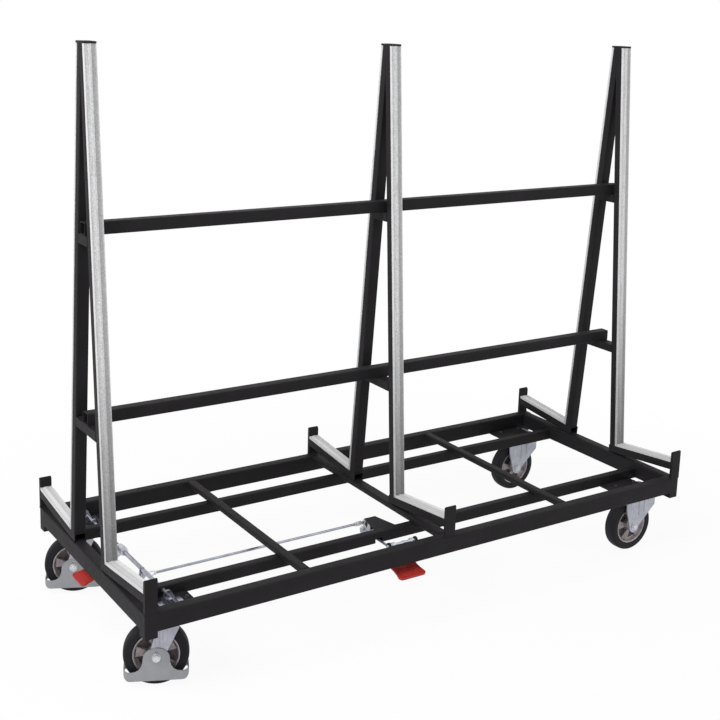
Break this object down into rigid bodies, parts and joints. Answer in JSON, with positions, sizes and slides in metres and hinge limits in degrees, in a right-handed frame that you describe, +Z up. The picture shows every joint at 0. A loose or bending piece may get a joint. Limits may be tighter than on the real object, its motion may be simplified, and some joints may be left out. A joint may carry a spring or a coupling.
{
  "type": "sheet goods cart",
  "caption": "Long tube cart on castors with padded A-frames that hold boards and panels upright on both sides, and a pedal brake that locks the swivel castors.",
  "frame": {"origin": "on the floor, under the middle of the part's box", "axes": "+X along the cart from the braked swivel castors to the fixed ones, +Y from the pedal side to the rear, +Z up"},
  "size_m": [2.2168, 0.9178, 1.905],
  "materials": {
    "black_coat": "matt black powder coat",
    "pad": "light grey ribbed rubber",
    "zinc": "bright zinc plate",
    "guard": "grey coat",
    "tyre": "black rubber",
    "rim": "cast aluminium",
    "pedal_red": "red coat"
  },
  "bodies": {
    "chassis": {"front_rail": "black_coat", "rear_rail": "black_coat", "left_end_rail": "black_coat", "right_end_rail": "black_coat", "front_inner_rail": "black_coat", "rear_inner_rail": "black_coat", "left_cross_bar": "black_coat", "centre_cross_bar": "black_coat", "right_cross_bar": "black_coat", "lower_long_rail": "black_coat", "upper_long_rail": "black_coat", "left_front_upright": "black_coat", "left_rear_upright": "black_coat", "left_lower_spreader": "black_coat", "left_upper_spreader": "black_coat", "left_cap": "black_coat", "left_front_pad": "pad", "left_rear_pad": "pad", "centre_front_upright": "black_coat", "centre_rear_upright": "black_coat", "centre_lower_spreader": "black_coat", "centre_upper_spreader": "black_coat", "centre_cap": "black_coat", "centre_front_pad": "pad", "centre_rear_pad": "pad", "right_front_upright": "black_coat", "right_rear_upright": "black_coat", "right_lower_spreader": "black_coat", "right_upper_spreader": "black_coat", "right_cap": "black_coat", "right_front_pad": "pad", "right_rear_pad": "pad", "front_left_castor_head": "zinc", "front_right_castor_fork": "zinc", "front_right_castor_axle": "zinc", "rear_left_castor_head": "zinc", "rear_right_castor_fork": "zinc", "rear_right_castor_axle": "zinc"},
    "front_left_fork": {"front_left_castor_fork": "zinc", "front_left_castor_guard": "guard", "front_left_castor_axle": "zinc"},
    "front_left_wheel": {"front_left_castor_tyre": "tyre", "front_left_castor_rim": "rim"},
    "front_right_wheel": {"front_right_castor_tyre": "tyre", "front_right_castor_rim": "rim"},
    "front_plunger": {"front_plunger": "zinc"},
    "rear_left_fork": {"rear_left_castor_fork": "zinc", "rear_left_castor_guard": "guard", "rear_left_castor_axle": "zinc"},
    "rear_left_wheel": {"rear_left_castor_tyre": "tyre", "rear_left_castor_rim": "rim"},
    "rear_right_wheel": {"rear_right_castor_tyre": "tyre", "rear_right_castor_rim": "rim"},
    "rear_plunger": {"rear_plunger": "zinc"},
    "brake_shaft": {"brake_shaft": "zinc", "end_pedal": "pedal_red"},
    "push_rod": {"push_rod": "zinc"},
    "bell_crank": {"bell_crank": "zinc"},
    "pedal_link": {"pedal_link": "zinc"},
    "front_pedal": {"front_pedal": "pedal_red"}
  },
  "joints": [
    {"name": "front_left_swivel", "type": "hinge", "parent": "chassis", "child": "front_left_fork", "pos_m": [-0.95159, -0.33714, 0.21], "axis": [0, 0, 1], "continuous": true},
    {"name": "front_left_roll", "type": "hinge", "parent": "front_left_fork", "child": "front_left_wheel", "pos_m": [-1.00092, -0.31517, 0.1], "axis": [0.4067, 0.9135, 0], "continuous": true},
    {"name": "front_right_roll", "type": "hinge", "parent": "chassis", "child": "front_right_wheel", "pos_m": [0.95841, -0.33714, 0.1], "axis": [0, 1, 0], "continuous": true},
    {"name": "rear_left_swivel", "type": "hinge", "parent": "chassis", "child": "rear_left_fork", "pos_m": [-0.95159, 0.35486, 0.21], "axis": [0, 0, 1], "continuous": true},
    {"name": "rear_left_roll", "type": "hinge", "parent": "rear_left_fork", "child": "rear_left_wheel", "pos_m": [-1.00092, 0.37683, 0.1], "axis": [0.4067, 0.9135, 0], "continuous": true},
    {"name": "rear_right_roll", "type": "hinge", "parent": "chassis", "child": "rear_right_wheel", "pos_m": [0.95841, 0.35486, 0.1], "axis": [0, 1, 0], "continuous": true},
    {"name": "brake", "type": "hinge", "parent": "chassis", "child": "brake_shaft", "pos_m": [-0.95159, 0.00886, 0.26288], "axis": [0, -1, 0], "range_deg": [0, 18]},
    {"name": "push_rod_slide", "type": "slide", "parent": "chassis", "child": "push_rod", "axis": [1, 0, 0], "range_m": [0, 0.0057]},
    {"name": "bell_crank_turn", "type": "hinge", "parent": "chassis", "child": "bell_crank", "pos_m": [-0.10768, -0.15105, 0.238], "axis": [0, 0, -1], "range_deg": [0, 7.2]},
    {"name": "pedal_link_slide", "type": "slide", "parent": "chassis", "child": "pedal_link", "axis": [0, 1, 0], "range_m": [0, 0.0057]},
    {"name": "front_pedal_turn", "type": "hinge", "parent": "chassis", "child": "front_pedal", "pos_m": [-0.14859, -0.38514, 0.286], "axis": [1, 0, 0], "range_deg": [0, 8]},
    {"name": "front_plunger_slide", "type": "slide", "parent": "chassis", "child": "front_plunger", "axis": [0, 0, -1], "range_m": [0, 0.004]},
    {"name": "rear_plunger_slide", "type": "slide", "parent": "chassis", "child": "rear_plunger", "axis": [0, 0, -1], "range_m": [0, 0.004]}
  ],
  "couplings": [
    {"joint": "push_rod_slide", "follows": "brake", "m_per_rad": 0.017926},
    {"joint": "bell_crank_turn", "follows": "brake", "ratio": 0.39862},
    {"joint": "pedal_link_slide", "follows": "brake", "m_per_rad": 0.017926},
    {"joint": "front_pedal_turn", "follows": "brake", "ratio": 0.4376},
    {"joint": "front_plunger_slide", "follows": "brake", "m_per_rad": 0.0127},
    {"joint": "rear_plunger_slide", "follows": "brake", "m_per_rad": 0.0127}
  ]
}
